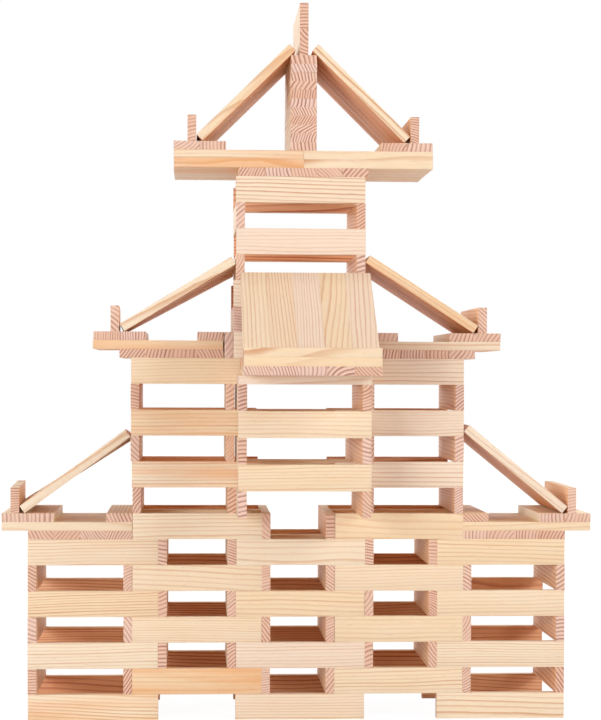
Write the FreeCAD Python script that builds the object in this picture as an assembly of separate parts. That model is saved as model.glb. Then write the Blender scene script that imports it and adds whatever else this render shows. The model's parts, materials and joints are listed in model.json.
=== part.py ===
"""Three-storey gabled tower stacked from loose pine planks, one STEP file per named sub-part.

Every piece is the same plank, laid on its edge or on its face with no glue, peg or nail.
The work is in millimetres. While the planks are laid, x runs right from the left end of the
base, y runs back from the front wall's face and z runs up from the ground. export() then
moves everything so that the origin is the centre of the footprint, at ground level.
"""
import FreeCAD, Part
import math
import os

# ---- driving dimensions -------------------------------------------------------------------
PLANK_THICKNESS = 7.8
FLATS_TO_AN_EDGE = 3        # planks laid flat on each other that are as high as one on edge
PLANKS_TO_A_SQUARE = 5      # planks side by side that are as wide as one is long
EDGE_EASE = 0.4             # chamfer on every edge of a plank

BASE_PAIRS = 4              # pairs of courses on edge: props outside, then props inside
WING_PAIRS = 3              # pairs of courses in the two wings on the base
TOWER_PAIRS = 3             # pairs of courses in the tower, under its last walled course

RIGHT_DRAWN_IN = 4.2            # how much nearer the middle the right third of it all stands
LEFT_WING_LEAN = 0.8            # how much further left each of the left wing's courses stands
TOWER_SHIFT = 1.0               # how far left the tower stands of the porch below it
TOWER_FOOT_SHIFT = 2.3          # how much further left the tower's first courses stand
TOWER_FOOT_COURSES = 3
TOP_SHIFT = 1.2                 # how far right of the porch's middle the top eave and ridge lie

LEFT_LOWER_STOP_INSET = 7.8     # outer edge of the eave to the outer face of its stop plank
RIGHT_LOWER_STOP_INSET = 13.1
LEFT_UPPER_STOP_INSET = 15.5
RIGHT_UPPER_STOP_INSET = 12.6
LEFT_LOWER_STOP_TURN = 2.0      # degrees that a stop is turned, with its back end further out
LEFT_UPPER_STOP_TURN = 1.7
LEFT_UPPER_EAVE_GAP = 0.8       # slack between an upper side eave and the curb beside it
RIGHT_UPPER_EAVE_GAP = 1.2
PORCH_JUT = 58.5                # how far the porch stands out in front of the base
PORCH_EAVE_SET_OFF = 5.0        # how far the porch's eave stands in front of the tower
PORCH_EAVE_SHIFT = 3.0          # how far right of the porch's middle its eave and roof lie
TOP_ROOF_PITCH = 45.0           # slope in degrees that sets the height of the ridge stack
RIDGE_END_GAP = 3.7             # top roof planks to the side of the finial
SKEW_TURN = 2.9                 # one porch prop that was set down askew, in degrees
LEAN_GAP = 0.3                  # clearance of a leaning plank at its seat, stop and rest

INNER_DRAW_COURSE = 1           # base courses whose inner or outer props draw out
OUTER_DRAW_COURSE = 3
SKEWED_COURSE = 2               # storey course with the askew porch prop
LEANED_ON_COURSE = 2            # storey course that the lower roofs lean on

# ---- sizes that follow ----------------------------------------------------------------------
T = PLANK_THICKNESS
W = FLATS_TO_AN_EDGE * T
L = PLANKS_TO_A_SQUARE * W
BASE_COURSES = 2 * BASE_PAIRS
WING_COURSES = 2 * WING_PAIRS
TOWER_COURSES = 2 * TOWER_PAIRS + 1
WING_DRAW_COURSE = WING_COURSES - 2
TOWER_DRAW_COURSE = TOWER_COURSES - 2
DECK_PLANKS = PLANKS_TO_A_SQUARE
BEARER_PLANKS = DECK_PLANKS - 1         # under a side eave, whose deck reaches one further

HALF = BEARER_PLANKS * W                # sideways step of the odd courses
PITCH = 2 * HALF                        # one wall plank to the next in an even course
BASE_END = 2 * PITCH + L - RIGHT_DRAWN_IN       # right end of the base
DEPTH = L                               # props run from the front wall's face to the back's
WING_LEFT = HALF                        # outer faces of the two wings
WING_RIGHT = BASE_END - HALF
TOWER_LEFT = PITCH                      # faces of the tower and of the porch below it
TOWER_RIGHT = PITCH + L
MIDDLE = (TOWER_LEFT + TOWER_RIGHT) / 2
TOP_MIDDLE = MIDDLE + TOP_SHIFT

LAYERS = ("bearers", "decks", "caps")
EAVE_BUILD_UP = len(LAYERS) * T
LOWER_EAVE_Z = (BASE_COURSES - 1) * W
WING_Z = BASE_COURSES * W
TOWER_Z = WING_Z + WING_COURSES * W
PORCH_EAVE_Z = TOWER_Z - W
TOP_EAVE_Z = TOWER_Z + TOWER_COURSES * W
TOP_DECK_Z = TOP_EAVE_Z + T
TOP_CAP_Z = TOP_DECK_Z + 2 * T
RIDGE_OVERLAP = W / 2 - T / 2 - RIDGE_END_GAP   # top roof planks past the ridge stack's edge
PITCH_ANGLE = math.radians(TOP_ROOF_PITCH)
RIDGE_RISE = L * math.sin(PITCH_ANGLE) - RIDGE_OVERLAP * math.tan(PITCH_ANGLE)
RIDGE_FLATS = round(RIDGE_RISE / T) + 1         # one more, level with the caps
RIDGE_TOP = TOP_CAP_Z + RIDGE_FLATS * T

FRONT_REACH = L + PORCH_EAVE_SET_OFF            # the porch's eave is one plank deep
ORIGIN = FreeCAD.Vector(BASE_END / 2, (DEPTH - FRONT_REACH) / 2, 0)

X_AXIS = FreeCAD.Vector(1, 0, 0)
Y_AXIS = FreeCAD.Vector(0, 1, 0)
Z_AXIS = FreeCAD.Vector(0, 0, 1)
CORNER = FreeCAD.Vector(0, 0, 0)


# ---- the one plank and the ways it is laid ------------------------------------------------------
def make_plank():
    """A plank on its face, long side along x, with its lowest corner at the origin."""
    board = Part.makeBox(L, W, T)
    return board.makeChamfer(EDGE_EASE, board.Edges)


PLANK = make_plank()


def laid(x, y, z, turns):
    """A copy of the plank after turns about x, y or z at its corner, then set down at x, y, z."""
    plank = PLANK.copy()
    for axis, degrees in turns:
        plank.rotate(CORNER, axis, degrees)
    plank.translate(FreeCAD.Vector(x, y, z))
    return plank


def flat_across(x, y, z):
    """On its face, long side along x."""
    return laid(x, y, z, [])


def flat_deep(x, y, z):
    """On its face, long side along y."""
    return laid(x + W, y, z, [(Z_AXIS, 90)])


def wall_plank(x, y, z):
    """On its long edge, long side along x."""
    return laid(x, y + T, z, [(X_AXIS, 90)])


def prop_plank(x, y, z):
    """On its long edge, long side along y, so that its end grain faces the front."""
    return laid(x, y, z, [(X_AXIS, 90), (Z_AXIS, 90)])


def rows_of(count, centre):
    """Starts of planks that lie side by side, as one deck whose middle is at centre."""
    return [centre + (i - count / 2) * W for i in range(count)]


# ---- courses --------------------------------------------------------------------------------------
def walls(starts, z, back=DEPTH - T, front=0.0):
    """A front and a back wall plank at each start."""
    return [wall_plank(x, y, z) for x in starts for y in (front, back)]


def props(lefts, z, front=0.0):
    return [prop_plank(x, front, z) for x in lefts]


EVEN_WALLS = [0, PITCH, BASE_END - L]
ODD_WALLS = [WING_LEFT, WING_RIGHT - L]
END_PROPS = [0, BASE_END - T]
OUTER_ODD_PROPS = [WING_LEFT - T, WING_RIGHT]
INNER_ODD_PROPS = [WING_LEFT + L, WING_RIGHT - L - T]
EVEN_PROPS = [L, PITCH - T, PITCH + L, BASE_END - L - T]
WING_OUTER_PROPS = [WING_LEFT, WING_RIGHT - T]
WING_INNER_PROPS = [TOWER_LEFT - T, TOWER_RIGHT]
CURBS = [x - TOWER_SHIFT - TOWER_FOOT_SHIFT for x in WING_INNER_PROPS]
PORCH_PROPS = [TOWER_LEFT, TOWER_RIGHT - T]
TOWER_PROPS = [x - TOWER_SHIFT for x in PORCH_PROPS]
PORCH_BACK_Y = L - PORCH_JUT - T        # back wall of the porch, and the inner wall under it


def base_course(number):
    """Course 0 is open under the props; odd and even courses break joint above it."""
    z = number * W
    if number == 0:
        return walls(EVEN_WALLS, z)
    if number == BASE_COURSES - 1:
        inner = [wall_plank(x, PORCH_BACK_Y, z) for x in ODD_WALLS]
        return walls(ODD_WALLS, z) + inner + props(INNER_ODD_PROPS, z)
    if number % 2 == 0:
        course = walls(EVEN_WALLS, z) + props(EVEN_PROPS, z)
        if number == BASE_COURSES - 2:
            course.append(wall_plank(PITCH, PORCH_BACK_Y, z))
        return course
    kept = END_PROPS[:]
    if number != INNER_DRAW_COURSE:
        kept += INNER_ODD_PROPS
    if number != OUTER_DRAW_COURSE:
        kept += OUTER_ODD_PROPS
    return walls(ODD_WALLS, z) + props(kept, z)


def skewed_prop(z):
    """The porch's right prop turned about its front end, which stays in line with the wall."""
    turns = [(X_AXIS, 90), (Z_AXIS, 90 + SKEW_TURN)]
    return laid(TOWER_RIGHT - T, -PORCH_JUT, z, turns)


def wing_places(pair, number):
    """A left and a right place of a wing course; the left wing leans a little to the left,
    up to the course that the lower roof leans on."""
    return [pair[0] - min(number, LEANED_ON_COURSE) * LEFT_WING_LEAN, pair[1]]


def storey_course(number):
    """A course of both wings and, up to its eave, of the porch that stands between them."""
    z = WING_Z + number * W
    if number % 2 == 1:
        course = walls(wing_places(ODD_WALLS, number), z)
        if number < WING_COURSES - 1:
            course += walls([TOWER_LEFT], z, PORCH_BACK_Y, -PORCH_JUT)
        return course
    course = props(wing_places(WING_INNER_PROPS, number), z)
    if number != WING_DRAW_COURSE:
        course += props(wing_places(WING_OUTER_PROPS, number), z)
    if number == SKEWED_COURSE:
        return course + props(PORCH_PROPS[:1], z, -PORCH_JUT) + [skewed_prop(z)]
    return course + props(PORCH_PROPS, z, -PORCH_JUT)


def tower_course(number):
    """The tower starts and ends with a walled course."""
    z = TOWER_Z + number * W
    shift = TOWER_FOOT_SHIFT if number < TOWER_FOOT_COURSES else 0
    if number % 2 == 0:
        return walls([TOWER_PROPS[0] - shift], z)
    if number == TOWER_DRAW_COURSE:
        return []
    return props([x - shift for x in TOWER_PROPS], z)


# ---- eaves -----------------------------------------------------------------------------------------
def side_eave(wall_x, outward, z):
    """Bearers, deck and caps beside a face at wall_x; outward is -1 to the left, 1 to the right."""
    def start(distance, size):
        near = wall_x + outward * distance
        return near if outward > 0 else near - size

    bearers = [flat_deep(start(i * W, W), 0, z) for i in range(BEARER_PLANKS)]
    deck = [flat_across(start(0, L), y, z + T) for y in rows_of(DECK_PLANKS, DEPTH / 2)]
    caps = [flat_deep(start(d, W), 0, z + 2 * T) for d in (0, L - 2 * W, L - W)]
    return bearers, deck, caps


def porch_eave():
    """The same three layers in front of the tower, with the deck pointing forward."""
    z = PORCH_EAVE_Z
    left = TOWER_LEFT + PORCH_EAVE_SHIFT
    back = -PORCH_EAVE_SET_OFF
    bearers = [flat_across(TOWER_LEFT, y, z) for y in (-PORCH_JUT, -W)]
    deck = [flat_deep(x, back - L, z + T) for x in rows_of(DECK_PLANKS, left + L / 2)]
    caps = [flat_across(left, back + y, z + 2 * T) for y in (-W, W - L, -L)]
    return bearers, deck, caps


def top_eave():
    """A deck two planks long and two layers thick on bearers, and its caps at both ends."""
    bearers = [flat_deep(x, 0, TOP_EAVE_Z) for x in rows_of(DECK_PLANKS, TOP_MIDDLE)]
    deck = [flat_across(x, y, TOP_DECK_Z + layer * T)
            for layer in range(2)
            for x in (TOP_MIDDLE - L, TOP_MIDDLE)
            for y in rows_of(DECK_PLANKS, DEPTH / 2)]
    left, right = TOP_MIDDLE - L, TOP_MIDDLE + L
    caps = [flat_deep(x, 0, TOP_CAP_Z) for x in (left, left + W, right - 2 * W, right - W)]
    return bearers, deck, caps


def stop_plank(face, outward, z, turn=0.0):
    """On edge, holding the feet of a slope: its inner side starts at face, at the front, and
    runs back with its back end turned outwards by turn degrees."""
    turns = [(X_AXIS, 90), (Z_AXIS, 90 - outward * turn)]
    outer = T if outward < 0 else 0
    angle = math.radians(turn)
    return laid(face - outer * math.cos(angle), -outer * math.sin(angle), z, turns)


# ---- leaning roofs ----------------------------------------------------------------------------------
ROOF_ROWS = rows_of(DECK_PLANKS, DEPTH / 2)     # fronts of the planks of a side or top slope


def side_plank(foot, outward, y, seat_z, angle):
    """A plank that rises from foot, the lower edge of its lower end, towards the middle."""
    turns = [(Y_AXIS, -math.degrees(angle))]
    if outward > 0:
        turns = [(Z_AXIS, 180), (Y_AXIS, math.degrees(angle))]
        y += W
    return laid(foot, y, seat_z + LEAN_GAP, turns)


def porch_slope(foot, seat_z, angle):
    """The porch's roof planks, which lean back on the tower's front face."""
    turns = [(Z_AXIS, 90), (X_AXIS, math.degrees(angle))]
    z = seat_z + LEAN_GAP
    middle = MIDDLE + PORCH_EAVE_SHIFT
    return [laid(x + W, foot, z, turns) for x in rows_of(DECK_PLANKS, middle)]


def lean(span):
    """Angle of a plank wedged between a stop and a wall, and how far its foot is from the wall.

    Its upper corner at the stop and its lower corner at the wall are L cos(a) + T sin(a) apart.
    """
    angle = math.atan2(T, L) + math.acos((span - 2 * LEAN_GAP) / math.hypot(L, T))
    return angle, LEAN_GAP + L * math.cos(angle)


def ridge_lean():
    """The same for a top roof plank, which rests on the ridge stack's top edge and ends short
    of the finial: L sin(a) = rise + RIDGE_OVERLAP tan(a), solved by repeated substitution."""
    rise = (RIDGE_FLATS - 1) * T
    angle = PITCH_ANGLE
    for _ in range(60):
        angle = math.asin((rise + RIDGE_OVERLAP * math.tan(angle)) / L)
    return angle, RIDGE_END_GAP + L * math.cos(angle)


# ---- assembly ------------------------------------------------------------------------------------------
def export(name, solids):
    """Write one node, moved so that the model's origin is the centre of its footprint."""
    group = Part.makeCompound(solids) if len(solids) > 1 else solids[0]
    group = group.copy()
    group.translate(-ORIGIN)
    group.exportStep(f"parts/{name}.step")
    return len(solids)


def courses():
    nodes = {}
    for number in range(BASE_COURSES):
        nodes[f"base_course_{number + 1}"] = base_course(number)
    for number in range(WING_COURSES):
        nodes[f"wing_course_{number + 1}"] = storey_course(number)
    for number in range(TOWER_COURSES):
        if number != TOWER_DRAW_COURSE:
            nodes[f"tower_course_{number + 1}"] = tower_course(number)
    return nodes


def draw_planks():
    """Pairs of props that slide out towards the front, each in a node of its own."""
    pairs = {
        "base_inner": (INNER_ODD_PROPS, INNER_DRAW_COURSE * W),
        "base_outer": (OUTER_ODD_PROPS, OUTER_DRAW_COURSE * W),
        "wing": (wing_places(WING_OUTER_PROPS, WING_DRAW_COURSE), WING_Z + WING_DRAW_COURSE * W),
        "tower": (TOWER_PROPS, TOWER_Z + TOWER_DRAW_COURSE * W),
    }
    nodes = {}
    for pair, (places, z) in pairs.items():
        for side, x in zip(("left", "right"), places):
            nodes[f"{pair}_draw_plank_{side}"] = props([x], z)
    return nodes


def roof_on_side(tier, side, outward, wall, stop_face, turn, seat_z):
    """A side roof's slope and its stop, named after their storey and side. Where the stop is
    turned, the feet follow it, so that each plank behind lies a little flatter."""
    slope = []
    for y in ROOF_ROWS:
        angle, foot = lean(abs(stop_face - wall) + y * math.tan(math.radians(turn)))
        slope.append(side_plank(wall + outward * foot, outward, y, seat_z, angle))
    stop = stop_plank(stop_face, outward, seat_z, turn)
    return {f"{tier}_roof_{side}": slope, f"{tier}_stop_{side}": [stop]}


def side_roofs():
    """Lower eaves and roofs against the wings, and upper ones against the tower's curbs."""
    lower = wing_places([WING_LEFT, WING_RIGHT], LEANED_ON_COURSE)
    upper = [TOWER_PROPS[0], TOWER_PROPS[1] + T]
    eave_ends = [CURBS[0] - LEFT_UPPER_EAVE_GAP, CURBS[1] + T + RIGHT_UPPER_EAVE_GAP]
    sides = [
        ("lower", "left", -1, LOWER_EAVE_Z, WING_LEFT, lower[0],
         LEFT_LOWER_STOP_INSET, LEFT_LOWER_STOP_TURN),
        ("lower", "right", 1, LOWER_EAVE_Z, WING_RIGHT, lower[1], RIGHT_LOWER_STOP_INSET, 0),
        ("upper", "left", -1, TOWER_Z, eave_ends[0], upper[0],
         LEFT_UPPER_STOP_INSET, LEFT_UPPER_STOP_TURN),
        ("upper", "right", 1, TOWER_Z, eave_ends[1], upper[1], RIGHT_UPPER_STOP_INSET, 0),
    ]
    nodes = {"tower_curbs": props(CURBS, TOWER_Z)}
    for tier, side, outward, z, eave_end, wall, inset, turn in sides:
        for layer, planks in zip(LAYERS, side_eave(eave_end, outward, z)):
            nodes.setdefault(f"{tier}_eave_{layer}", []).extend(planks)
        stop_face = eave_end + outward * (L - inset - T)
        seat_z = z + EAVE_BUILD_UP
        nodes.update(roof_on_side(tier, side, outward, wall, stop_face, turn, seat_z))
    return nodes


def porch_roof():
    nodes = {f"porch_eave_{layer}": planks for layer, planks in zip(LAYERS, porch_eave())}
    seat_z = PORCH_EAVE_Z + EAVE_BUILD_UP
    angle, foot = lean(FRONT_REACH - W)
    nodes["porch_stop"] = [flat_across(TOWER_LEFT + PORCH_EAVE_SHIFT, -FRONT_REACH, seat_z)]
    nodes["porch_roof"] = porch_slope(-foot, seat_z, angle)
    return nodes


def top_roof():
    nodes = {f"top_eave_{layer}": planks for layer, planks in zip(LAYERS, top_eave())}
    ridge_x = TOP_MIDDLE - W / 2
    finial_x = TOP_MIDDLE - T / 2
    nodes["ridge_stack"] = [flat_deep(ridge_x, 0, TOP_CAP_Z + i * T) for i in range(RIDGE_FLATS)]
    nodes["finial_lower"] = [prop_plank(finial_x, 0, RIDGE_TOP)]
    nodes["finial_upper"] = [prop_plank(finial_x, 0, RIDGE_TOP + W)]
    seat_z = TOP_CAP_Z + T
    angle, foot = ridge_lean()
    reach = foot + T * math.sin(angle) + LEAN_GAP
    for side, outward in (("left", -1), ("right", 1)):
        finial_face = TOP_MIDDLE + outward * T / 2
        foot_x = finial_face + outward * foot
        slope = [side_plank(foot_x, outward, y, seat_z, angle) for y in ROOF_ROWS]
        nodes[f"top_roof_{side}"] = slope
        stop_face = finial_face + outward * reach
        nodes[f"top_stop_{side}"] = [stop_plank(stop_face, outward, seat_z)]
    return nodes


def main():
    os.makedirs("parts", exist_ok=True)
    nodes = {**courses(), **draw_planks(), **side_roofs(), **porch_roof(), **top_roof()}
    planks = sum(export(name, solids) for name, solids in nodes.items())
    print(f"{len(nodes)} nodes, {planks} planks")


main()
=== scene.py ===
# %% [markdown]
# # A tower of loose pine planks
# The object is a three-storey gabled tower that someone stacked from 267 identical planks,
# with no glue and no pegs. Every plank is the same slim board of planed pine, so the whole
# lesson is about one board: how to give it its real shape, how to cut it out of an imagined
# log so that its rings run true through every face, and how to lay it where the packed model
# says. The frame is loaded first, because every place comes from it.

# %% Load the frame
import json
import math

import bpy
import numpy as np
from mathutils import Matrix, Vector


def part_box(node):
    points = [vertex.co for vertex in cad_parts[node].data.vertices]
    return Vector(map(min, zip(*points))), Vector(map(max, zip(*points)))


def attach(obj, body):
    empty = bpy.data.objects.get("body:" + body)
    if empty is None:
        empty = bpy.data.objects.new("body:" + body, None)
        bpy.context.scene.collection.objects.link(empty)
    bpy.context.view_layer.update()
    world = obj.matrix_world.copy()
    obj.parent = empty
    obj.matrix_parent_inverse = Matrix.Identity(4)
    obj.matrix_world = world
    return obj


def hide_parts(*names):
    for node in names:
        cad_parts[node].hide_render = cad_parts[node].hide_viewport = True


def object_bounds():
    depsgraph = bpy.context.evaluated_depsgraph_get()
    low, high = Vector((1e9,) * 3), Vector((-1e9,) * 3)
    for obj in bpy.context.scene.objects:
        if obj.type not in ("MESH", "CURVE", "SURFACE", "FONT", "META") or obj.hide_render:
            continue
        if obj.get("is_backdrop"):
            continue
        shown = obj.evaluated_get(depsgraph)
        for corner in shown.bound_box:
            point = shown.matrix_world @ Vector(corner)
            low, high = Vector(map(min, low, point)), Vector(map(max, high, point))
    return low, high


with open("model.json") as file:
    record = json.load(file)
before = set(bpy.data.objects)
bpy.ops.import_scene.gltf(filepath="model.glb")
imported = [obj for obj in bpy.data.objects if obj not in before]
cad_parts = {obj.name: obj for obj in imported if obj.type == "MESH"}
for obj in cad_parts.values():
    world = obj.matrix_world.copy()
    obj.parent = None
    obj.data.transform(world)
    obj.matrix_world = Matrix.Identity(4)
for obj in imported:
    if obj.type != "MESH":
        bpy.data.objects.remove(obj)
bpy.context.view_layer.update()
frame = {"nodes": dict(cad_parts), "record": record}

# %% [markdown]
# ## Finding the planks in the frame
# A node of the frame is a group of planks in one mesh of loose triangles, one plank after the
# other, and all planks have the same number of corners. So a node can be cut into planks by
# counting, with the finial plank, which is alone in its node, as the measure. A plank's own
# directions follow from its corners: it is much longer than wide and much wider than thick,
# so the three axes of its cloud of corners are its length, its width and its thickness.

# %% Read the planks' places
LONE_PLANK = "finial_upper"
SAME_CORNER = 7          # decimals of a metre to which corners are told apart
corners_in_plank = len(frame["nodes"][LONE_PLANK].data.vertices)


def corners_of(node):
    """All corners of a node's mesh as an array of points."""
    mesh = frame["nodes"][node].data
    points = np.empty(len(mesh.vertices) * 3)
    mesh.vertices.foreach_get("co", points)
    return points.reshape(-1, 3)


def own_axes(points):
    """Length, width and thickness directions: the axes of the cloud, widest spread first.

    Each is turned to point along +x, +y or +z, whichever it is nearest to, and the third
    is the cross product of the first two, so that the three stay right-handed.
    """
    cloud = np.unique(np.round(points, SAME_CORNER), axis=0)
    axes = np.linalg.svd(cloud - cloud.mean(axis=0))[2]
    nearest = np.argmax(np.abs(axes), axis=1)
    axes = axes * np.sign(axes[np.arange(3), nearest])[:, None]
    axes[2] = np.cross(axes[0], axes[1])
    return axes


def planks_of(node):
    """The (centre, axes) of each plank in a node."""
    blocks = corners_of(node).reshape(-1, corners_in_plank, 3)
    return [((block.max(axis=0) + block.min(axis=0)) / 2, own_axes(block)) for block in blocks]


lone = corners_of(LONE_PLANK)
size = np.ptp((lone - lone.mean(axis=0)) @ own_axes(lone).T, axis=0)
LENGTH, WIDTH, THICKNESS = size
print("plank", np.round(size * 1000, 2), "mm")

# %% [markdown]
# ## The shape of one plank
# A planed board is a rounded rectangle carried along its length. Its edges are not sharp: a
# touch of sandpaper has eased them to a radius of a quarter of a millimetre, and that is what
# catches the light and draws a fine line between two planks that touch. A Bevel modifier on a
# box would do this too, but then nothing could bow, so the surface is worked out here: a loop
# of points round the section, repeated at stations along the board, and drawn in a little at
# both ends where the end edges are eased.

# %% Section and stations
EASE = 0.00025           # radius of an eased edge
EASE_STEPS = 2           # flat facets across one eased edge
SPANS = 5                # lengths between the two ends, so that a board can bow
LOOP_POINTS = 4 * (EASE_STEPS + 1)           # points round the section
LOOPS = 2 * (EASE_STEPS + 1) + SPANS - 1     # sections along the board


def section(half_width, half_thickness, radius):
    """Points round a rounded rectangle: each corner's centre plus a quarter turn of radius."""
    quarter = np.linspace(0, math.pi / 2, EASE_STEPS + 1)
    starts = np.arange(4) * math.pi / 2
    turn = (starts[:, None] + quarter[None, :]).ravel()
    sign_w = np.repeat([1, -1, -1, 1], EASE_STEPS + 1)
    sign_t = np.repeat([1, 1, -1, -1], EASE_STEPS + 1)
    across = sign_w * (half_width - radius) + radius * np.cos(turn)
    through = sign_t * (half_thickness - radius) + radius * np.sin(turn)
    return across, through


def stations(radius):
    """Places along the board and how far the section is drawn in there: a quarter round at
    each end, drawn in by radius * (1 - cos), and evenly spaced full sections between."""
    quarter = np.linspace(math.pi / 2, 0, EASE_STEPS + 1)
    near_end = radius * (1 - np.sin(quarter))
    drawn_in = radius * (1 - np.cos(quarter))
    inner = np.linspace(radius, LENGTH - radius, SPANS + 1)[1:-1]
    along = np.concatenate([near_end, inner, LENGTH - near_end[::-1]]) - LENGTH / 2
    draw = np.concatenate([drawn_in, np.zeros(SPANS - 1), drawn_in[::-1]])
    return along, draw


print("corners in a board", LOOPS * LOOP_POINTS)

# %% [markdown]
# The corners of all boards are numbered in the same way: loop after loop, from one end to the
# other. So the faces need to be worked out only once: four-sided ones between two loops, and
# one face with many sides that closes each end.

# %% Faces of a board
def board_faces():
    """Quads between neighbouring loops, and one many-sided face at each end."""
    loop, spoke = np.meshgrid(np.arange(LOOPS - 1), np.arange(LOOP_POINTS), indexing="ij")
    here = loop * LOOP_POINTS + spoke
    beside = loop * LOOP_POINTS + (spoke + 1) % LOOP_POINTS
    quads = np.stack([here, here + LOOP_POINTS, beside + LOOP_POINTS, beside], axis=-1)
    first = np.arange(LOOP_POINTS)
    last = (LOOPS - 1) * LOOP_POINTS + np.arange(LOOP_POINTS)[::-1]
    return quads.reshape(-1, 4), first, last


QUADS, FIRST_END, LAST_END = board_faces()
print("faces in a board", len(QUADS) + 2)

# %% [markdown]
# ## What makes one board differ from the next
# Identical boards look like plastic. Real ones have dried since they were planed: they bow by
# a tenth of a millimetre, and a hand set them down a little out of line. Those slips are kept
# far below what the eye calls a gap. A leaning board has slid down on its stop, so it keeps
# its place. All random numbers come from one generator that starts from a fixed seed, so the
# tower is the same one each time.

# %% One board's own shape
chance = np.random.default_rng(1503)
EASED = 0.75, 1.3        # an edge's radius as a share of the usual one
BOW = 0.00012            # how far the middle of a board stands off its ends, edgewise
PRESSED = 3              # facewise it bows this many times less, pressed by its neighbours
SLIP = 0.00035           # how far a hand misses along a board's length
SKEW = math.radians(0.14)    # nearly every board is turned by less than this
LEVEL = 0.1              # the most that a board laid level rises along its unit length


def board_shape():
    """Corners of a board about its own centre: the section at each station, drawn in at the
    ends and pushed aside by a shallow parabola along the length."""
    radius = EASE * chance.uniform(*EASED)
    along, draw = stations(radius)
    across, through = section(WIDTH / 2, THICKNESS / 2, radius)
    shrink_w = 1 - draw / (WIDTH / 2)
    shrink_t = 1 - draw / (THICKNESS / 2)
    bend = 1 - (2 * along / LENGTH) ** 2
    bow_w, bow_t = chance.uniform(-BOW, BOW, 2)
    points = np.empty((LOOPS, LOOP_POINTS, 3))
    points[:, :, 0] = along[:, None]
    points[:, :, 1] = shrink_w[:, None] * across[None, :] + (bow_w * bend)[:, None]
    points[:, :, 2] = shrink_t[:, None] * through[None, :] + (bow_t * bend / PRESSED)[:, None]
    return points.reshape(-1, 3)


def laid_by_hand(points, centre, axes):
    """The board at its place: a small slip along its length, its own directions turned to the
    frame's, and a small turn about the upright, which moves a point by the cross product of
    the upright and its place. A leaning board neither slips nor turns, and nothing reaches
    below the floor."""
    loose = abs(axes[0][2]) < LEVEL
    turn = chance.normal(0, SKEW / 2) * loose
    slip = chance.uniform(-SLIP, SLIP) * loose
    placed = (points + (slip, 0, 0)) @ axes
    swing = np.cross((0.0, 0.0, 1.0), placed) * math.sin(turn)
    laid = placed + swing + centre
    laid[:, 2] = np.maximum(laid[:, 2], 0)
    return laid


print("a board bows by up to", BOW * 1000, "mm and slips by up to", SLIP * 1000, "mm")

# %% [markdown]
# ## Cutting the board out of a log
# Growth rings are tubes round the heart of the tree. A board is a straight cut through them,
# so each face shows the same tubes at its own angle: arcs and slanting lines on the end,
# nearly straight lines on one side and long pointed arches on another. If each face is given
# a texture of its own, they never meet at the corners. So each corner of the mesh gets its
# place in the log as an attribute: how far along the tree it is, and its place across the
# tree measured in rings from the heart. The shader then only has to ask how many rings out
# a point is.

# %% Log coordinates of a board
RING = 0.0029            # usual width of one year's growth
GROWTH = 0.74, 1.38      # a tree's own rings as a share of the usual ones
HEART_NEAR, HEART_FAR = 0.022, 0.110     # how far the heart of the tree was from a board
HEART_SWING = 0.60       # how far, in radians, the heart strays from the board's wide way
SWING_LIMIT = 0.95       # no further: flatter cuts show broad blots instead of lines
LEAN_WIDE, LEAN_THICK = 0.022, 0.014     # how much the heart leans along a board, each way
TREE_HALF = 50           # half of the very long log in which each board gets its own stretch


def log_place(points):
    """Place in the log: metres along the tree, then two distances from the heart in rings.

    The heart runs almost along the board and leans a little, so that the lines run out at
    the board's edges as they do in sawn timber. It lies off one of the board's narrow sides,
    more or less, because the boards were split from thicker ones: most rings then cross the
    thickness, and show as straight lines on the wide faces.
    """
    ring = RING * chance.uniform(*GROWTH)
    distance = chance.uniform(HEART_NEAR, HEART_FAR)
    swing = np.clip(chance.normal(0, HEART_SWING), -SWING_LIMIT, SWING_LIMIT)
    side = math.pi * chance.integers(2) + swing
    lean_w, lean_t = chance.normal(0, LEAN_WIDE), chance.normal(0, LEAN_THICK)
    start = chance.uniform(-TREE_HALF, TREE_HALF)
    place = np.empty_like(points)
    place[:, 0] = points[:, 0] + start
    place[:, 1] = (points[:, 1] + distance * math.cos(side) + lean_w * points[:, 0]) / ring
    place[:, 2] = (points[:, 2] + distance * math.sin(side) + lean_t * points[:, 0]) / ring
    return place


print("rings across a board's width", round(WIDTH / RING, 1))

# %% [markdown]
# ## A board's temper
# Boards of one set are cut from many trees. Most here are cream or honey coloured. Some are
# paler and rosier, and went mostly into the right wing, the tower and the lighter roofs. In the
# right wing every board is rosy and pale: partly its own colour, and partly painted light that
# makes up for the shadow that the porch casts on that wing.
# Others have a flush of amber heartwood in them, and went mostly into the left wing and
# into the decks of the eaves. The strongest rings are in the ridge, the finials and the
# porch's roof. So each place in the tower has its own odds, and a board draws from those.

# %% The odds at each place
# The odds that a board is rosy, the odds that it has amber in it, its rings' least strength.
PLACES = {
    "top_eave_decks": (0.15, 0.45, 0),
    "upper_eave_decks": (0, 1, 0),
    "porch_eave_decks": (0.45, 0.45, 0),
    "porch_eave_bearers": (1, 0, 0),
    "porch_roof": (0.75, 0.10, 0.55),
    "lower_roof_left": (0.12, 0, 0),
    "lower_roof_right": (1, 0, 0),
    "tower": (0.85, 0, 0),
    "ridge": (0.15, 0.10, 0.80),
    "finial": (0.15, 0.10, 0.80),
}
LEFT_WING = (0.05, 0.95, 0)
# Right wing: every board rosy and pale, partly its own colour and partly painted light against the
# porch's shadow.
RIGHT_WING = (1, 0, 0)
PORCH = (0.30, 0.30, 0)
ELSEWHERE = (0.12, 0.25, 0)
WING_FROM = 0.06         # planks of the wings' courses nearer the middle belong to the porch


def odds_at(node, centre):
    """The odds for a board of a node: by the start of the node's name, and in the wings'
    courses by how far to the left or right the board lies."""
    if node.startswith("wing"):
        if abs(centre[0]) < WING_FROM:
            return PORCH
        return RIGHT_WING if centre[0] > 0 else LEFT_WING
    for start, odds in PLACES.items():
        if node.startswith(start):
            return odds
    return ELSEWHERE


print("places with odds of their own", len(PLACES) + 3)

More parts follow.
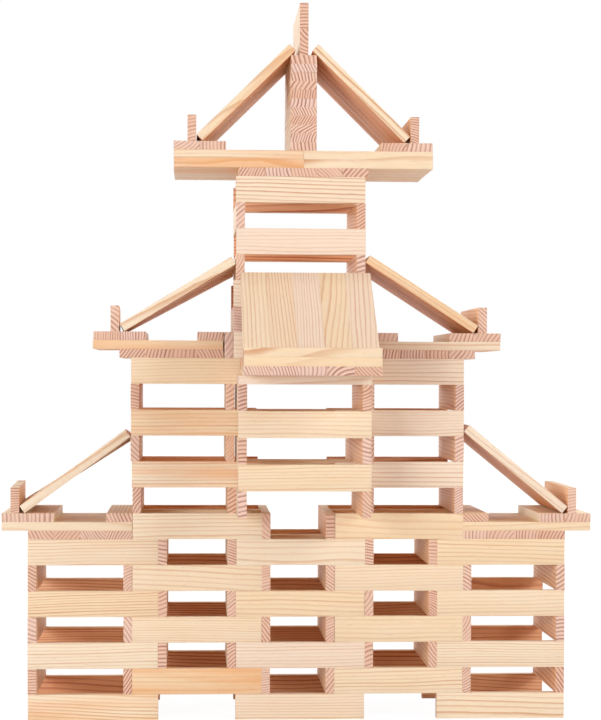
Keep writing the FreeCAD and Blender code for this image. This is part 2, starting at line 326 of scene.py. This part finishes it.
# %% [markdown]
# A board draws four numbers between 0 and 1. Its warmth and the strength of its rings lie
# mostly near the middle, so they come from a beta distribution, which falls off towards both
# ends. Its rosiness and its amber are either clearly there or as good as absent.

# %% A board draws its temper
ROSY, HARDLY_ROSY = (0.35, 0.95), (0, 0.15)
FLUSHED, HARDLY_FLUSHED = (0.50, 1.0), (0, 0.20)
WARMTH_BETA = 2, 2.4
STRENGTH_BETA = 2, 2.2


def temper(rosy, amber, least):
    """Four numbers from 0 to 1 for a whole board: its warmth, its rosiness, how strongly its
    rings show, and how much amber heartwood it has."""
    blush = chance.uniform(*(ROSY if chance.random() < rosy else HARDLY_ROSY))
    flush = chance.uniform(*(FLUSHED if chance.random() < amber else HARDLY_FLUSHED))
    return np.array([chance.beta(*WARMTH_BETA), blush,
                     max(chance.beta(*STRENGTH_BETA), least), flush])


print("a board's warmth is usually near", round(WARMTH_BETA[0] / sum(WARMTH_BETA), 2))

# %% [markdown]
# ## End grain and painted shade
# Two kinds of face look unlike the rest. Cut fibres drink in light, so end grain is darker
# and pinker than the long faces. And one wide face of a board gets a stronger, redder amber:
# that is painted shade, put on the faces that look into the hollow tower and down from the
# roofs, where the shade falls. Both kinds are marked here face by face, for the shader to read.

# %% Mark the faces
base_middle = np.mean(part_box("base_course_1"), axis=0)
FLAT, LEANING = 0.98, 0.3    # how far up or down the wide faces of such boards look
CENTRAL = 0.010              # a board nearer the middle than this looks neither in nor out
SIDEWAYS = 0.7               # how far sideways the wide faces of a prop look
PROP_SHARE = 0.7             # a prop's painted shade is so much of a wall plank's


# Painted shade: the face chosen here is made redder and darker in the shader, where the shade
# inside the tower and under the roofs falls.
def painted_shade_side(centre, axes):
    """Which wide face gets painted shade, and how much: above 0 for the one that looks along
    the thickness, below 0 for the other. It is the lower one on a leaning board, and on an
    upright one the one that looks into the hollow tower, where the shade falls. 0 on a board
    laid flat, which is as pale below as above, and on a board in the very middle."""
    out = axes[2]
    if abs(out[2]) > FLAT:
        return 0
    if abs(out[2]) > LEANING:
        return -np.sign(out[2])
    inwards = out[:2] @ (base_middle - centre)[:2]
    if abs(inwards) < CENTRAL:
        return 0
    return np.sign(inwards) * (PROP_SHARE if abs(out[0]) > SIDEWAYS else 1)


def face_marks(sides):
    """For all faces of all boards, quads first and then ends: 1 on end grain and 0 elsewhere,
    and how much painted shade each takes. End grain reaches round the first facet of an end's
    eased edges, and the wide faces lie between corners 1 and 2 and corners 3 and 4."""
    end = np.zeros((LOOPS - 1, LOOP_POINTS))
    end[0] = end[-1] = 1
    ends = np.concatenate([np.tile(end.ravel(), len(sides)), np.ones(2 * len(sides))])
    side = np.array(sides, dtype=float)[:, None, None]
    painted_shade_shares = np.zeros((len(sides), LOOPS - 1, LOOP_POINTS))
    painted_shade_shares[:, :, [EASE_STEPS]] = np.maximum(side, 0)
    painted_shade_shares[:, :, [EASE_STEPS + LOOP_POINTS // 2]] = np.maximum(-side, 0)
    return ends, np.concatenate([painted_shade_shares.ravel(), np.zeros(2 * len(sides))])


print("the tower looks inwards to", np.round(base_middle, 4))

# %% [markdown]
# ## From boards to pieces
# The planks of one node always move together, so they become one mesh. It is filled with
# whole arrays, and four attributes go with it: the place in the log, the board's temper, and
# the marks for end grain and for painted shade. The temper is four numbers, so it is stored as
# a colour with its alpha.

# %% One mesh for a node's planks
def keep_attribute(mesh, name, kind, domain, field, values):
    """Store one value for each corner or face of a mesh."""
    made = mesh.attributes.new(name, kind, domain)
    made.data.foreach_set(field, values.ravel())


def planks_mesh(node, planks):
    """One mesh of all the boards in a node, with its attributes."""
    corners, log, tempers = [], [], []
    for centre, axes in planks:
        shape = board_shape()
        corners.append(laid_by_hand(shape, centre, axes))
        log.append(log_place(shape))
        tempers.append(np.tile(temper(*odds_at(node, centre)), (len(shape), 1)))
    count = len(planks)
    step = (np.arange(count) * LOOPS * LOOP_POINTS)[:, None]
    quads = (QUADS[None] + step[:, :, None]).reshape(-1, 4)
    ends = np.concatenate([FIRST_END[None] + step, LAST_END[None] + step])
    loops = np.concatenate([quads.ravel(), ends.ravel()])
    sizes = np.concatenate([np.full(len(quads), 4), np.full(len(ends), LOOP_POINTS)])
    mesh = bpy.data.meshes.new(f"{node}_planks")
    mesh.vertices.add(count * LOOPS * LOOP_POINTS)
    mesh.vertices.foreach_set("co", np.concatenate(corners).ravel())
    mesh.loops.add(len(loops))
    mesh.loops.foreach_set("vertex_index", loops)
    mesh.polygons.add(len(sizes))
    mesh.polygons.foreach_set("loop_start", np.concatenate([[0], np.cumsum(sizes)[:-1]]))
    ends_marked, painted_shade_marked = face_marks([painted_shade_side(*plank) for plank in planks])
    keep_attribute(mesh, "log", "FLOAT_VECTOR", "POINT", "vector", np.concatenate(log))
    keep_attribute(mesh, "temper", "FLOAT_COLOR", "POINT", "color", np.concatenate(tempers))
    keep_attribute(mesh, "end_grain", "FLOAT", "FACE", "value", ends_marked)
    # How much painted shade each face takes: the faces that look into the tower and down from the
    # roofs.
    keep_attribute(mesh, "painted_shade_side", "FLOAT", "FACE", "value", painted_shade_marked)
    mesh.update(calc_edges=True)
    mesh.validate()
    return mesh


print("a board takes", LOOP_POINTS * (LOOPS - 1) * 2 + 2 * (LOOP_POINTS - 2), "triangles")

# %% [markdown]
# ## Shader arithmetic as Python
# A wood shader is mostly arithmetic: a distance, its fraction, a few masks. Wired by hand that
# is dozens of Math nodes. The small class below wraps a socket, so that adding, multiplying or
# subtracting two of them adds the node and gives back its output. The reflected forms let a
# plain number stand in front, as in 1 - mask.

# %% A socket that can be calculated with
class Wire:
    """An output socket of a node tree, which can be calculated with."""

    def __init__(self, tree, socket=None):
        self.tree = tree
        self.socket = socket

    def node(self, kind, settings=None, inputs=None, output=0):
        """Any node: its kind, its settings, the values or wires of its inputs. Gives back one
        of its outputs, if it has any."""
        made = self.tree.nodes.new(kind)
        for key, value in (settings or {}).items():
            setattr(made, key, value)
        for key, value in (inputs or {}).items():
            if isinstance(value, Wire):
                self.tree.links.new(value.socket, made.inputs[key])
            else:
                made.inputs[key].default_value = value
        return Wire(self.tree, made.outputs[output] if made.outputs else None)

    def beside(self, output):
        """Another output of the node that this one comes from."""
        return Wire(self.tree, self.socket.node.outputs[output])

    def math(self, operation, *others):
        """A Math node on this value and on others."""
        values = dict(enumerate((self, *others)))
        return self.node("ShaderNodeMath", {"operation": operation}, values)

    def __add__(self, other):
        return self.math("ADD", other)

    def __sub__(self, other):
        return self.math("SUBTRACT", other)

    def __mul__(self, other):
        return self.math("MULTIPLY", other)

    def __rsub__(self, other):
        return self.node("ShaderNodeMath", {"operation": "SUBTRACT"}, {0: other, 1: self})

    __radd__ = __add__
    __rmul__ = __mul__

    def between(self, low, high):
        """0 below low, 1 above high and a smooth rise between."""
        sockets = {"Value": self, "From Min": low, "From Max": high}
        return self.node("ShaderNodeMapRange", {"interpolation_type": "SMOOTHSTEP"}, sockets)

    def blend(self, first, second):
        """The colour first where this is 0 and second where it is 1."""
        sockets = {0: self, 6: first, 7: second}
        return self.node("ShaderNodeMix", {"data_type": "RGBA"}, sockets, 2)

    def noise(self, repeats, detail=2.0, roughness=0.5):
        """Noise from 0 to 1 at this vector, whose parts are first multiplied by repeats."""
        spread = self.node("ShaderNodeVectorMath", {"operation": "MULTIPLY"}, {0: self, 1: repeats})
        sockets = {"Vector": spread, "Scale": 1.0, "Detail": detail, "Roughness": roughness}
        return self.node("ShaderNodeTexNoise", {"noise_dimensions": "3D"}, sockets)

    def parts(self):
        """The x, y and z of this vector."""
        first = self.node("ShaderNodeSeparateXYZ", {}, {0: self})
        return first, first.beside("Y"), first.beside("Z")


print("a Wire can", [name for name in vars(Wire) if not name.startswith("__")])

# %% [markdown]
# ## The colours of pine
# Pine is cream or honey coloured where it grew in spring, and a denser amber where it grew in
# late summer. Some boards are rosier, and the ends are pinkish. A stronger, redder amber is
# painted shade, for the faces that look into the tower and down from the roofs. The colours are
# written as they look on a screen and are turned into the light values that a shader counts in.

# %% Colours
def tint(red, green, blue):
    """A colour given as it looks on a screen, from 0 to 255, as the light values of a shader:
    a straight line near black, and above it a power of 2.4."""
    parts = np.array([red, green, blue]) / 255
    linear = np.where(parts <= 0.04045, parts / 12.92, ((parts + 0.055) / 1.055) ** 2.4)
    return (*linear.tolist(), 1.0)


CREAM = tint(247, 232, 202)
HONEY = tint(245, 219, 176)
ROSE = tint(246, 228, 208)
LATE_PALE = tint(227, 187, 141)
LATE_DEEP = tint(211, 153, 105)
LATE_ROSE = tint(214, 170, 146)
AMBER = tint(238, 176, 116)
CANAL = tint(186, 132, 92)
# Painted shade: the redder, darker colours of faces that look into the tower and down from the
# roofs.
PAINTED_SHADE_EARLY = tint(243, 176, 124)
PAINTED_SHADE_LATE = tint(186, 90, 52)
END_EARLY = tint(241, 210, 185)
END_WARM = tint(233, 189, 157)
END_ROSE = tint(242, 217, 203)
END_LATE = tint(166, 102, 82)
print("cream as light values", np.round(CREAM, 3))

# %% [markdown]
# ## Rings
# Each year a pine grows a wide pale band in spring and a narrow dense amber one in late
# summer, which stops sharply when winter comes. A Wave texture could draw such bands, but it
# makes them all alike. Here they are counted out from the heart: the whole part of the count
# is the year and decides how dark its late wood is, because a dry year and a wet year differ,
# and the rest is the season, a slow climb from cream to amber and a sudden fall back. Trees
# aren't turned on a lathe, so two noises, a slow one and a quick one, push the rings in and
# out. A noise is told how often it repeats in a metre along the tree and in a ring across it.

# %% Rings of the log
WANDER, SHIVER = (9.0, 0.12, 0.12), (60.0, 0.9, 0.9)
WANDER_REACH, SHIVER_REACH = 1.6, 0.20       # how far they push a ring, in rings
LATE_RISE, LATE_FALL = (0.50, 0.90), (0.93, 1.0)     # parts of a year, on the long faces
END_RISE, END_FALL = (0.34, 0.80), (0.90, 1.0)       # and on the ends, where they look wider
TREES = 400              # so many trees differ in which of their years were dry
LUCK_LEAST, LUCK_MORE = 0.35, 0.65           # how dark late wood is by its year's luck
STRONG_LEAST, STRONG_MORE = 0.50, 0.70       # and by how strong its board's rings are
END_LEAST, END_BY_LUCK, END_BY_STRENGTH = 0.20, 0.35, 0.50


def years_out(log):
    """Rings from the heart out to a point of the log: its distance from the heart, made a
    little uneven."""
    along, across, through = log.parts()
    distance = (across * across + through * through).math("SQRT")
    slow = log.noise(WANDER, detail=1.0)
    quick = log.noise(SHIVER)
    return distance + (slow - 0.5) * WANDER_REACH + (quick - 0.5) * SHIVER_REACH


def late_wood(season, rise, fall):
    """1 in late wood: a slow rise over one part of the year, a sudden fall over another."""
    return season.between(*rise) * (1 - season.between(*fall))


def luck_of(year, warmth):
    """A number from 0 to 1 for each ring of each tree. It is asked for with whole numbers
    only, because the least difference would give another number."""
    number = year.math("FLOOR") + (warmth * TREES).math("ROUND")
    return year.node("ShaderNodeTexWhiteNoise", {"noise_dimensions": "1D"}, {"W": number})


def ring_depths(log, warmth, strength):
    """How dark the late wood is at a point, from 0 to 1, on a long face and on an end."""
    year = years_out(log)
    season = year.math("FRACT")
    luck = luck_of(year, warmth)
    depth = late_wood(season, LATE_RISE, LATE_FALL) * (LUCK_LEAST + LUCK_MORE * luck)
    end_depth = END_LEAST + END_BY_LUCK * luck + END_BY_STRENGTH * strength
    return (depth * (STRONG_LEAST + STRONG_MORE * strength),
            late_wood(season, END_RISE, END_FALL) * end_depth)


print("late wood takes up", round(LATE_FALL[1] - LATE_RISE[0], 2), "of a year")

# %% [markdown]
# ## Planed pine
# On top of the rings lie the fibres, as hair-fine streaks along the board, and short darker
# dashes where a canal of resin was cut open, and here and there a flush of amber heartwood.
# A printed grain, wrapped round each board, would repeat itself and break at the corners.
# Noise in the log's own places does neither, and is drawn out along the tree by repeating
# much more often across it. Ends are plainer: rings and the cut ends of fibres.

# %% Long faces and ends
CLOUD, FLUSH = (24.0, 0.30, 0.30), (7.0, 0.30, 0.30)
FIBRE, HAIR = (14.0, 3.2, 3.2), (42.0, 21.0, 21.0)
FIBROUS = 0.6                                # how rough fibres and hairs are
CANALS = (70.0, 9.0, 9.0)
CLOUDED, END_CLOUDED = 0.9, 0.8              # how far clouds of honey stray from the warmth
ROSE_SHARE, LATE_ROSE_SHARE, END_ROSE_SHARE = 0.85, 0.7, 0.7
FLUSH_HELP = 0.35                            # how far a board's amber helps a flush through
AMBER_FROM, AMBER_SHARE = (0.55, 0.95), 0.75
PAINTED_SHADE_LEAST, PAINTED_SHADE_MORE = 0.70, 0.30         # how much of the painted shade's colours shows
PAINTED_SHADE_DEEPENS, AMBER_DEEPENS = 1.5, 0.3      # what makes the painted shade redder still
STREAKS, HAIRS, END_HAIRS = 0.30, 0.22, 0.5
CANAL_FROM, CANAL_SHARE = (0.69, 0.76), 0.5


def long_face(log, board, cloud, hair, depth, painted_shade_side):
    """The colour of the long faces. The rings lie on cream, honey or rose, amber flushes lie
    over them, painted shade makes the faces that look into the tower and down from the roofs
    redder and darker, and fibres and canals come last."""
    warmth, blush, strength, heart = board
    amber = (log.noise(FLUSH) + heart * FLUSH_HELP).between(*AMBER_FROM) * heart
    plain = (warmth + (cloud - 0.5) * CLOUDED).blend(CREAM, HONEY)
    early = (blush * ROSE_SHARE).blend(plain, ROSE)
    late = (blush * LATE_ROSE_SHARE).blend(strength.blend(LATE_PALE, LATE_DEEP), LATE_ROSE)
    side = (amber * AMBER_SHARE).blend(depth.blend(early, late), AMBER)
    # Painted shade: faces that look into the tower or down from the roofs are made redder and
    # darker here.
    redness = depth * painted_shade_side * PAINTED_SHADE_DEEPENS + amber * AMBER_DEEPENS
    redder = redness.blend(PAINTED_SHADE_EARLY, PAINTED_SHADE_LATE)
    side = (painted_shade_side * (PAINTED_SHADE_LEAST + PAINTED_SHADE_MORE * warmth)).blend(side, redder)
    fibre = log.noise(FIBRE, detail=3.0, roughness=FIBROUS)
    streak = (fibre - 0.5) * STREAKS + (hair - 0.5) * HAIRS
    side = streak.math("MAXIMUM", 0.0).blend(side, LATE_DEEP)
    canal = log.noise(CANALS, detail=1.0).between(*CANAL_FROM)
    return (canal * CANAL_SHARE).blend(side, CANAL)


def cut_end(board, cloud, hair, depth):
    """The colour of the ends: wide dark rings on pinkish wood, and the ends of fibres."""
    warmth, blush, _, _ = board
    plain = (warmth + (cloud - 0.5) * END_CLOUDED).blend(END_EARLY, END_WARM)
    plain = (blush * END_ROSE_SHARE).blend(plain, END_ROSE)
    fibres = ((hair - 0.5) * END_HAIRS).math("MAXIMUM", 0.0)
    return fibres.blend(depth.blend(plain, END_LATE), END_LATE)


print("a flush of amber is about", round(100 / FLUSH[0]), "cm long")

# %% [markdown]
# ## The material
# Every plank is of the same planed, unpainted wood, so one material does for all of them. The
# pieces' attributes say where a point is in its log, how its board was tempered, whether its
# face is end grain, and how much painted shade it takes. Late wood is harder than early wood: it
# stands a few hundredths of a millimetre proud and is a little glossier.

# %% The pine material
ROUGH, LATE_GLOSS, HAIR_ROUGH = 0.58, 0.10, 0.10     # usual, less on late wood, by fibres
END_ROUGH = 0.12                             # more on the ends
RIPPLE = (12.0, 2.4, 2.4)                    # the waves that a planer leaves
RING_RELIEF, RIPPLE_RELIEF = 0.6, 0.7        # shares of the relief's depth
RELIEF_STRENGTH, RELIEF_DEPTH = 0.16, 0.0004
PINE_IOR = 1.46


def pine(name):
    """Planed pine, cut out of the log by the pieces' own attributes."""
    material = bpy.data.materials.new(name)
    material.use_nodes = True
    tree = material.node_tree
    shader = tree.nodes["Principled BSDF"]
    start = Wire(tree)
    log = start.node("ShaderNodeAttribute", {"attribute_name": "log"}, output="Vector")
    tempered = start.node("ShaderNodeAttribute", {"attribute_name": "temper"}, output="Vector")
    end = start.node("ShaderNodeAttribute", {"attribute_name": "end_grain"}, output="Fac")
    # The painted shade of faces that look into the tower and down from the roofs.
    inner = start.node("ShaderNodeAttribute", {"attribute_name": "painted_shade_side"}, output="Fac")
    warmth, blush, strength = tempered.parts()
    board = warmth, blush, strength, tempered.beside("Alpha")

    depth, end_depth = ring_depths(log, warmth, strength)
    cloud = log.noise(CLOUD)
    hair = log.noise(HAIR, roughness=FIBROUS)
    side = long_face(log, board, cloud, hair, depth, inner)
    colour = end.blend(side, cut_end(board, cloud, hair, end_depth))
    tree.links.new(colour.socket, shader.inputs["Base Color"])

    rough = ROUGH - LATE_GLOSS * depth + HAIR_ROUGH * (hair - 0.5) + END_ROUGH * end
    tree.links.new(rough.socket, shader.inputs["Roughness"])
    ripple = log.noise(RIPPLE, detail=1.0)
    height = depth * RING_RELIEF + (ripple - 0.5) * RIPPLE_RELIEF
    relief = start.node("ShaderNodeBump", {}, {"Height": height, "Strength": RELIEF_STRENGTH,
                                              "Distance": RELIEF_DEPTH})
    tree.links.new(relief.socket, shader.inputs["Normal"])
    shader.inputs["IOR"].default_value = PINE_IOR
    return material


PINE = pine("planed_pine")
print("shader nodes", len(PINE.node_tree.nodes))

# %% [markdown]
# ## Laying the tower
# Every node of the frame becomes one piece of planks, which stands for the node and rides on
# the node's body. The loop goes through them by name, in alphabetical order, so that the
# random numbers fall the same way each time.

# %% Replace every node with its planks
body_of_node = {node: body for body, nodes in frame["record"]["behaviour"]["bodies"].items()
                for node in nodes}
board_count = 0
for node in sorted(frame["nodes"]):
    boards = planks_of(node)
    board_count += len(boards)
    piece = bpy.data.objects.new(f"{node}_planks", planks_mesh(node, boards))
    piece.data.materials.append(PINE)
    bpy.context.scene.collection.objects.link(piece)
    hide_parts(node)
    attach(piece, body_of_node[node])
print("boards laid", board_count)

# %% [markdown]
# ## Floor and surroundings
# The tower stands on a plain white floor in front of white. The floor shows itself to the
# camera, to reflections and to views through glass as a glowing white, and to all other
# light as matt and pale: so it stays white, takes a faint shadow of the tower, and throws
# soft light up under the eaves. The world does the same: white to look at, and a very low
# warm light on the planks, as from a room with wooden walls.

# %% Floor
FLOOR_HALF = 6.0
FLOOR_MATT = (0.84, 0.84, 0.88, 1)
GLOW = 1.10              # a little over white, so that the floor's far edge is lost
GLOW_SHARE = 0.87        # near the tower; all glow beyond the reach of its shadow
SHADOW_REACH = 0.7, 1.8  # from the middle of the floor, where the shadow starts to fade
WHITE = (1, 1, 1, 1)


def looked_at(start):
    """1 where the camera, a reflection or a view through glass looks, and 0 for light."""
    seen = start.node("ShaderNodeLightPath", output="Is Camera Ray")
    shiny, through = seen.beside("Is Glossy Ray"), seen.beside("Is Transmission Ray")
    return seen.math("MAXIMUM", shiny).math("MAXIMUM", through)


def white_floor():
    """A flat square on which the tower stands, mostly glowing white to the camera."""
    half = FLOOR_HALF
    mesh = bpy.data.meshes.new("floor")
    corners = [(-half, -half, 0), (half, -half, 0), (half, half, 0), (-half, half, 0)]
    mesh.from_pydata(corners, [], [(0, 1, 2, 3)])
    floor = bpy.data.objects.new("floor", mesh)
    bpy.context.scene.collection.objects.link(floor)
    material = bpy.data.materials.new("floor_white")
    material.use_nodes = True
    tree = material.node_tree
    tree.nodes.clear()
    start = Wire(tree)
    matt = start.node("ShaderNodeBsdfDiffuse", {}, {"Color": FLOOR_MATT})
    glow = start.node("ShaderNodeEmission", {}, {"Color": WHITE, "Strength": GLOW})
    spot = start.node("ShaderNodeTexCoord", output="Object")
    away = start.node("ShaderNodeVectorMath", {"operation": "LENGTH"}, {0: spot}, "Value")
    share = looked_at(start) * (GLOW_SHARE + (1 - GLOW_SHARE) * away.between(*SHADOW_REACH))
    mixed = start.node("ShaderNodeMixShader", {}, {0: share, 1: matt, 2: glow})
    start.node("ShaderNodeOutputMaterial", {}, {"Surface": mixed})
    mesh.materials.append(material)
    floor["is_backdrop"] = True


white_floor()
print("floor", 2 * FLOOR_HALF, "m wide")

# %% [markdown]
# The world is mixed in the same way: white where it is looked at, and elsewhere the light of
# the room.

# %% World
ROOM_LIGHT = (0.20, 0.05, 0.03, 1)


def white_world(light):
    """White behind everything, and the given light on the object from all round."""
    world = bpy.data.worlds.new("white")
    bpy.context.scene.world = world
    world.use_nodes = True
    tree = world.node_tree
    tree.nodes.clear()
    start = Wire(tree)
    colour = looked_at(start).blend(light, WHITE)
    shining = start.node("ShaderNodeBackground", {}, {"Color": colour, "Strength": 1.0})
    start.node("ShaderNodeOutputWorld", {}, {"Surface": shining})


white_world(ROOM_LIGHT)
print("the room's light", ROOM_LIGHT[:3])

# %% [markdown]
# ## Lamps
# Large soft panels stand round the tower. The two in front come from well to the sides, so
# that their light falls flat on the walls but hardly reaches the back wall through the
# windows: what is seen in there is lit by light that has bounced from board to board and
# has taken on their colour. One panel hangs above, and two weaker ones light the back.

# %% Lights
DAYLIGHT = (0.92, 1.0, 1.03)
PANEL = 1.4              # side of a panel
REACH = 2.6              # how far off a panel stands
PANELS = (               # name, degrees round to the right from the front, height, watts
    ("left_panel", -40, 0.5, 46),
    ("right_panel", 60, 1.5, 43),
    ("back_left_panel", -145, 1.2, 22),
    ("back_right_panel", 145, 1.2, 22),
)
OVERHEAD_PLACE, OVERHEAD_POWER = (0, -0.3, 2.6), 10
low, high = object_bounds()
middle = (Vector(low) + Vector(high)) / 2


def soft_panel(name, place, turn, power):
    """A square panel of light at a place, turned from looking straight down."""
    lamp = bpy.data.lights.new(name, "AREA")
    lamp.shape = "SQUARE"
    lamp.size = PANEL
    lamp.energy = power
    lamp.color = DAYLIGHT
    panel = bpy.data.objects.new(name, lamp)
    panel.location = place
    panel.rotation_euler = turn
    bpy.context.scene.collection.objects.link(panel)


def standing_panel(name, azimuth, height, power):
    """A panel on a circle round the tower that faces the tower's middle."""
    angle = math.radians(azimuth)
    place = Vector((REACH * math.sin(angle), -REACH * math.cos(angle), height))
    soft_panel(name, place, (middle - place).to_track_quat("-Z", "Y").to_euler(), power)


for panel in PANELS:
    standing_panel(*panel)
soft_panel("overhead_panel", OVERHEAD_PLACE, (0, 0, 0), OVERHEAD_POWER)
print("panels", len(PANELS) + 1)

# %% [markdown]
# ## Camera
# A long lens flattens the tower, so that its courses stay level lines and hardly spread. It
# stands a little to the left of the middle and level with the porch's eave, and looks very
# slightly down and to the right. The frame is shifted up a little, so that the tower fills it.

# %% Camera
CAMERA_PLACE = (-0.0955, -1.726, 0.3124)
CAMERA_TURN = -0.0560    # to the right, in radians
CAMERA_TILT = -0.0234    # down
CAMERA_ROLL = 0.0042     # about its own axis
LENS = 95.75
SENSOR = 36.0
FRAME_RISE = 0.0833      # the frame sits this much of its height above the lens's axis


def put_camera():
    """A camera at its place: looking ahead and tilted, rolled about its own axis, turned."""
    data = bpy.data.cameras.new("camera")
    data.lens = LENS
    data.sensor_width = SENSOR
    data.shift_y = FRAME_RISE
    camera = bpy.data.objects.new("camera", data)
    turned = (Matrix.Rotation(CAMERA_TURN, 4, "Z")
              @ Matrix.Rotation(math.pi / 2 + CAMERA_TILT, 4, "X")
              @ Matrix.Rotation(CAMERA_ROLL, 4, "Z"))
    camera.matrix_world = Matrix.Translation(CAMERA_PLACE) @ turned
    bpy.context.scene.collection.objects.link(camera)
    bpy.context.scene.camera = camera


put_camera()
bpy.context.scene.view_settings.view_transform = "Standard"
print("camera with a lens of", LENS, "mm")

# %% [markdown]
# ## Sizes
# The planks must stay as large as the packed ones, every piece rides on a body, and no node
# may have moved.

# %% Sizes
print("the tower is laid")
